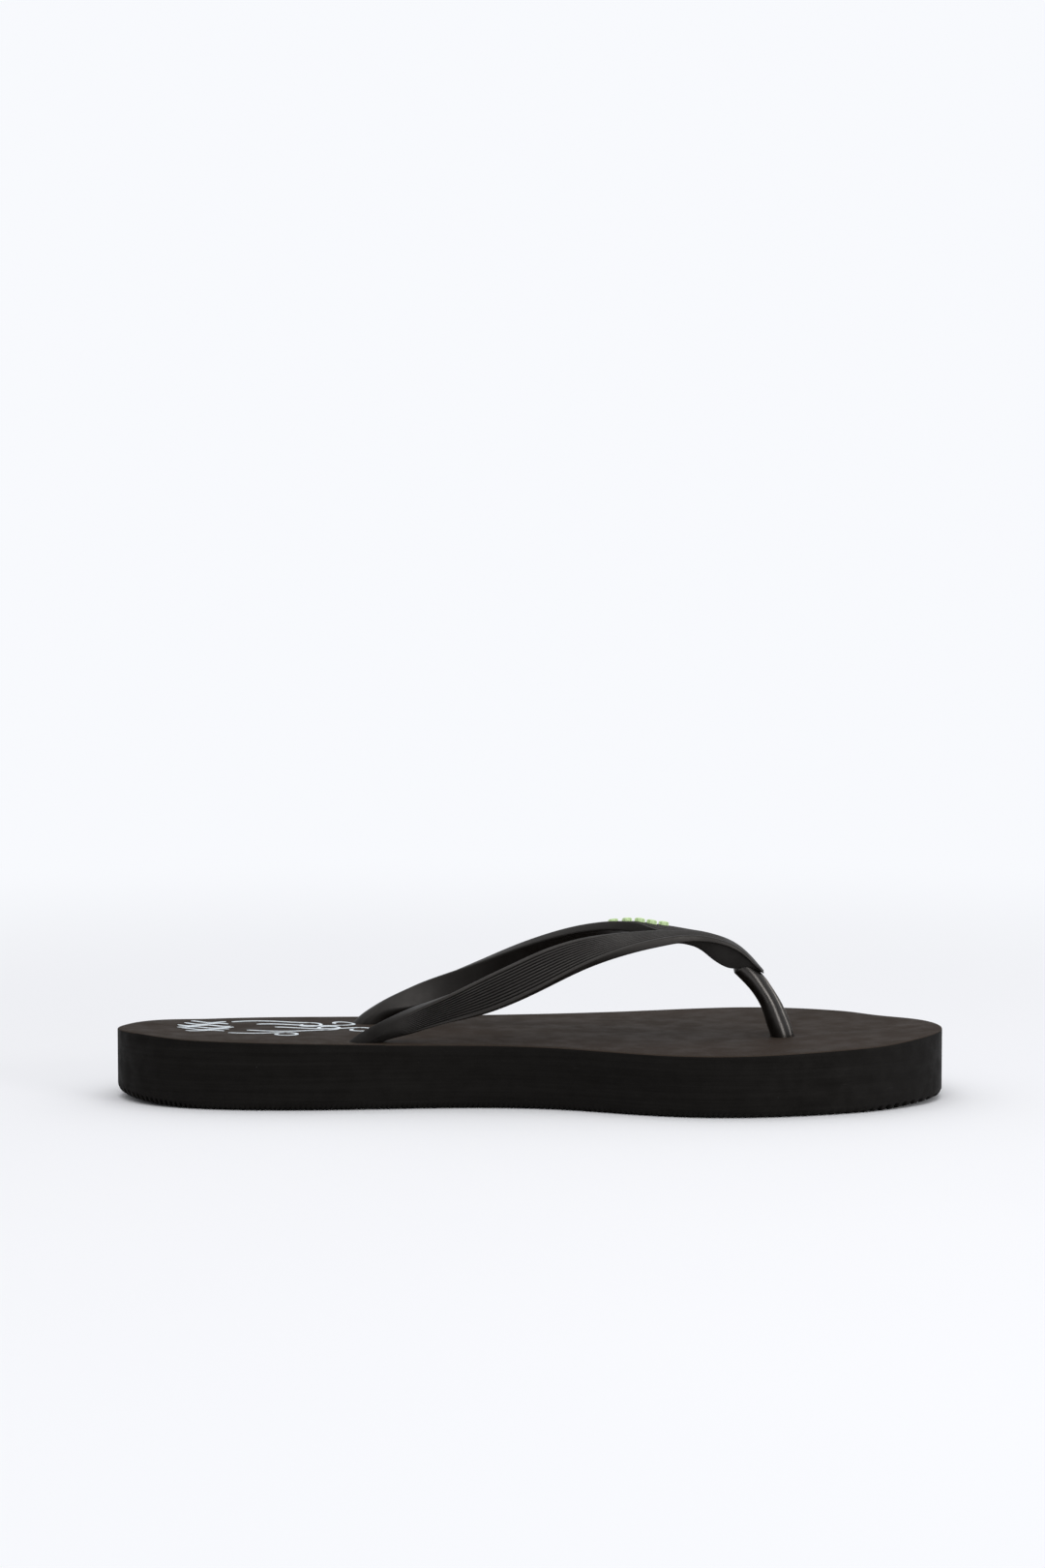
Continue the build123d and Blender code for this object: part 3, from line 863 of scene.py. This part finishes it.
def wall_material():
    """Foam's cut edge and the tread: near black, finely streaked along the cut, scuffed here and there, with
    painted light making it paler towards the toe.
    """
    m = Nodes("outsole_foam")
    streaks = m.noise(260, 5, 0.7, (0.07, 0.07, 3.2))
    colour = m.mix(m.ramp(streaks, 0.3, 0.75), (0.0038, 0.0034, 0.0030), (0.0074, 0.0068, 0.0062))
    # Painted light: the wall turns paler towards the toe, where the lamp from the right falls on it
    toe = m.new("ShaderNodeSeparateXYZ")
    m.link(m.place, toe.inputs[0])
    painted_toe_light = m.ramp(toe.outputs["X"], 0.080, 0.122)
    colour = m.mix(m.math("MULTIPLY", painted_toe_light, 0.5), colour, (0.0105, 0.0099, 0.0096))
    scuff = m.math("MULTIPLY", m.ramp(m.noise(700, 2, 0.5, (0.09, 0.09, 1.6)), 0.70, 0.76),
                   m.ramp(m.noise(60, 2), 0.52, 0.68))
    colour = m.mix(m.math("MULTIPLY", scuff, 0.55), colour, (0.055, 0.053, 0.05))
    nick = m.math("MULTIPLY", m.ramp(m.cells(330), 0.05, 0.02), m.ramp(m.noise(110, 1), 0.62, 0.66))
    colour = m.mix(m.math("MULTIPLY", nick, 0.6), colour, (0.10, 0.098, 0.094))
    normal = m.bump(streaks, 0.35, 0.00018)
    normal = m.bump(m.cells(1500), 0.25, 0.00008, normal)
    normal = m.bump(m.noise(60, 2, 0.5, (1, 1, 0.4)), 0.2, 0.0008, normal)
    rough = m.ramp(m.noise(200, 3), 0.3, 0.7, 0.62, 0.8)
    m.finish(colour, rough, normal, 0.10, (1.0, 0.95, 0.90))
    return m.material


def rubber_material(name, base, tone, gloss, specular):
    """Satin moulded rubber: faint mould texture, dusty bloom, paler worn edges, and painted shade that
    darkens and dulls the places the mesh marks.
    """
    m = Nodes(name)
    bloom = m.ramp(m.noise(120, 4, 0.6), 0.35, 0.75)
    colour = m.mix(bloom, base, tone)
    worn = m.math("MULTIPLY", m.edge(0.0006), m.ramp(m.noise(500, 3), 0.35, 0.7, 0.35, 1.0))
    colour = m.mix(m.math("MULTIPLY", worn, 0.45), colour, (0.050, 0.049, 0.048))
    dust = m.math("MULTIPLY", m.ramp(m.cells(420), 0.05, 0.02), m.ramp(m.noise(160, 1), 0.60, 0.66))
    colour = m.mix(m.math("MULTIPLY", dust, 0.5), colour, (0.16, 0.155, 0.15))
    # Painted shade: the per-point mark darkens the colour towards near black and raises the roughness
    hollow_and_painted_shade = m.new("ShaderNodeAttribute", attribute_name="hollow_and_painted_shade").outputs["Fac"]
    colour = m.mix(m.ramp(hollow_and_painted_shade, 0.15, 0.7), colour, (0.0012, 0.0011, 0.0010))
    normal = m.bump(m.noise(2200, 3, 0.6), 0.22, 0.00005)
    normal = m.bump(m.noise(260, 3), 0.16, 0.0001, normal)
    rough = m.ramp(m.noise(180, 4), 0.3, 0.7, gloss - 0.05, gloss + 0.07)
    rough = m.math("ADD", rough, m.ramp(hollow_and_painted_shade, 0.15, 0.7, 0.0, 0.4))
    m.finish(colour, rough, normal, specular, (1.0, 0.94, 0.89))
    return m.material


def badge_material():
    """Soft pale lime rubber."""
    m = Nodes("badge_rubber")
    colour = m.mix(m.ramp(m.noise(300, 3), 0.35, 0.7), (0.66, 0.88, 0.42), (0.74, 0.93, 0.52))
    worn = m.edge(0.0004)
    colour = m.mix(m.math("MULTIPLY", worn, 0.4), colour, (0.82, 0.96, 0.64))
    normal = m.bump(m.noise(1600, 3), 0.2, 0.00006)
    rough = m.ramp(m.noise(300, 2), 0.3, 0.7, 0.42, 0.55)
    m.finish(colour, rough, normal, 0.4)
    return m.material


def ink_material():
    """Thin pale ink that lets a little of the foam's grain through."""
    m = Nodes("print_ink")
    thin = m.ramp(m.noise(1400, 4, 0.7), 0.42, 0.62)
    colour = m.mix(thin, (0.74, 0.82, 0.88), (0.93, 0.98, 1.0))
    normal = m.bump(m.noise(1000, 4), 0.3, 0.00008)
    rough = m.ramp(m.noise(300, 2), 0.3, 0.7, 0.5, 0.65)
    m.finish(colour, rough, normal, 0.3)
    return m.material


def floor_material():
    """Pale matte paper."""
    m = Nodes("paper")
    colour = m.mix(m.ramp(m.noise(3, 2), 0.3, 0.7), (0.945, 0.945, 0.960), (0.955, 0.955, 0.965))
    normal = m.bump(m.noise(300, 2), 0.02, 0.0001)
    rough = m.ramp(m.noise(20, 2), 0.3, 0.7, 0.88, 0.95)
    m.finish(colour, rough, normal, 0.05)
    far = m.new("ShaderNodeVectorMath", operation="LENGTH")
    m.link(m.place, far.inputs[0])
    glow = m.new("ShaderNodeEmission")
    glow.inputs["Color"].default_value = (*BACKDROP, 1)
    both = m.new("ShaderNodeMixShader")
    m.link(m.ramp(far.outputs["Value"], 0.16, 0.7), both.inputs[0])
    m.link(m.shader.outputs[0], both.inputs[1])
    m.link(glow.outputs[0], both.inputs[2])
    m.link(both.outputs[0], m.tree.nodes["Material Output"].inputs["Surface"])
    return m.material


# ---------------------------------------------------------------- build
outsole = make_outsole()
footbed = make_footbed()
strap = make_strap()
post = make_post()
for plug_x, plug_y in ((ANCHOR_X, MEDIAL_Y), (ANCHOR_X, LATERAL_Y), (POST_X, POST_Y)):
    cut(outsole, plug_room(plug_x, plug_y))
    cut(footbed, plug_room(plug_x, plug_y))
cut(footbed, neck_cutter(MEDIAL_OUTER, MEDIAL_INNER, -1), neck_cutter(LATERAL_OUTER, LATERAL_INNER, 1))
cut(footbed, make_post("post_room", 0.12))
cut(strap, *[make_post("post_head_room", 0.14, flex) for flex in (0, 12, 24, 35)])
plugs = [
    (make_plug("plug_medial", ANCHOR_X, MEDIAL_Y), "sole_rear", "side_plug_medial"),
    (make_plug("plug_lateral", ANCHOR_X, LATERAL_Y), "sole_rear", "side_plug_lateral"),
    (make_plug("plug_toe", POST_X, POST_Y), "forefoot", "toe_plug"),
]
badge = make_badge()
line_art = make_print()

foam, wall = footbed_material(), wall_material()
rubber = rubber_material("strap_rubber", (0.0030, 0.0025, 0.0021), (0.0056, 0.0048, 0.0041), 0.46, 0.5)
post_rubber = rubber_material("post_rubber", (0.0036, 0.0033, 0.0030), (0.0060, 0.0054, 0.0049), 0.31, 0.7)
outsole.data.materials.append(wall)
footbed.data.materials.append(foam)
footbed.data.materials.append(wall)
# Faces turned upwards take the brown-grey foam and the rest the near-black wall colour; the gap between them
# is partly the foam's own top colour and partly painted light on the upward faces
for face in footbed.data.polygons:
    face.material_index = 0 if face.normal.z > 0.55 else 1
strap.data.materials.append(rubber)
post.data.materials.append(post_rubber)
badge.data.materials.append(badge_material())
line_art.data.materials.append(ink_material())

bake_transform(outsole)
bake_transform(footbed)
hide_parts("outsole_rear", "outsole_fore")
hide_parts("footbed_rear", "footbed_fore")
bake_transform(strap)
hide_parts("strap_yoke")
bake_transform(post)
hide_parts("toe_post")
for plug, body, node in plugs:
    plug.data.materials.append(rubber)
    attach(plug, body)
    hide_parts(node)
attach(badge, "strap")
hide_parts("strap_badge")
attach(line_art, "sole_rear")
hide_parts("heel_print")

# ---------------------------------------------------------------- stage, light and camera
SKY_SLOPE = 3.7  # how much faster the surroundings brighten upwards than backwards
SKY_SPAN = (-0.85, 2.85)
SKY_STRENGTH = (0.10, 0.82)
CAMERA_DISTANCE, CAMERA_RISE, CAMERA_DIP = 1.132, 9, 4.74  # metres, degrees, degrees


def make_floor():
    """A wide disc that fades into the backdrop."""
    bpy.ops.mesh.primitive_circle_add(vertices=96, radius=24, fill_type="NGON", location=(0, 0, 0))
    floor = bpy.context.object
    floor.name = "floor"
    floor.data.materials.append(floor_material())


def light_world():
    """Surroundings that brighten upwards and backwards, and an even backdrop for the camera."""
    world = bpy.data.worlds.new("studio")
    bpy.context.scene.world = world
    world.use_nodes = True
    tree = world.node_tree
    background = tree.nodes["Background"]
    way = tree.nodes.new("ShaderNodeTexCoord")
    split = tree.nodes.new("ShaderNodeSeparateXYZ")
    tree.links.new(way.outputs["Generated"], split.inputs[0])
    height = tree.nodes.new("ShaderNodeMath")
    height.operation = "MULTIPLY_ADD"
    height.inputs[1].default_value = SKY_SLOPE
    tree.links.new(split.outputs["Z"], height.inputs[0])
    tree.links.new(split.outputs["Y"], height.inputs[2])
    span = tree.nodes.new("ShaderNodeMapRange")
    for name, value in zip(("From Min", "From Max", "To Min", "To Max"), SKY_SPAN + SKY_STRENGTH):
        span.inputs[name].default_value = value
    tree.links.new(height.outputs[0], span.inputs["Value"])
    seen = tree.nodes.new("ShaderNodeLightPath")
    choose = tree.nodes.new("ShaderNodeMix")
    choose.data_type = "FLOAT"
    tree.links.new(seen.outputs["Is Camera Ray"], choose.inputs["Factor"])
    tree.links.new(span.outputs["Result"], choose.inputs[2])
    choose.inputs[3].default_value = 1.0
    tree.links.new(choose.outputs[0], background.inputs["Strength"])
    background.inputs["Color"].default_value = (*BACKDROP, 1)


def area_light(name, location, target, size, power):
    """A soft square lamp aimed at a point."""
    lamp = bpy.data.lights.new(name, "AREA")
    lamp.shape, lamp.size, lamp.energy = "SQUARE", size, power
    obj = bpy.data.objects.new(name, lamp)
    obj.location = location
    obj.rotation_euler = (Vector(target) - Vector(location)).to_track_quat("-Z", "Y").to_euler()
    bpy.context.scene.collection.objects.link(obj)


def make_camera():
    """The long lens, low and in front of the sole's medial side."""
    camera = bpy.data.objects.new("camera", bpy.data.cameras.new("camera"))
    camera.data.lens = 85
    camera.data.clip_start = 0.01
    rise = radians(CAMERA_RISE)
    camera.location = (-0.0022, -CAMERA_DISTANCE * cos(rise), 0.010 + CAMERA_DISTANCE * sin(rise))
    camera.rotation_euler = (radians(90 - CAMERA_DIP), 0, 0)
    bpy.context.scene.collection.objects.link(camera)
    bpy.context.scene.camera = camera


make_floor()
light_world()
bpy.context.scene.view_settings.view_transform = "Standard"
area_light("top_soft", (0.1, 0.0, 1.5), (0, 0, 0), 1.2, 4.2)
area_light("front_high", (-0.2, -1.0, 1.45), (0, 0, 0.02), 0.7, 3.2)
area_light("low_right", (0.94, -0.86, 0.24), (0.06, 0, 0.03), 0.5, 5.5)
make_camera()
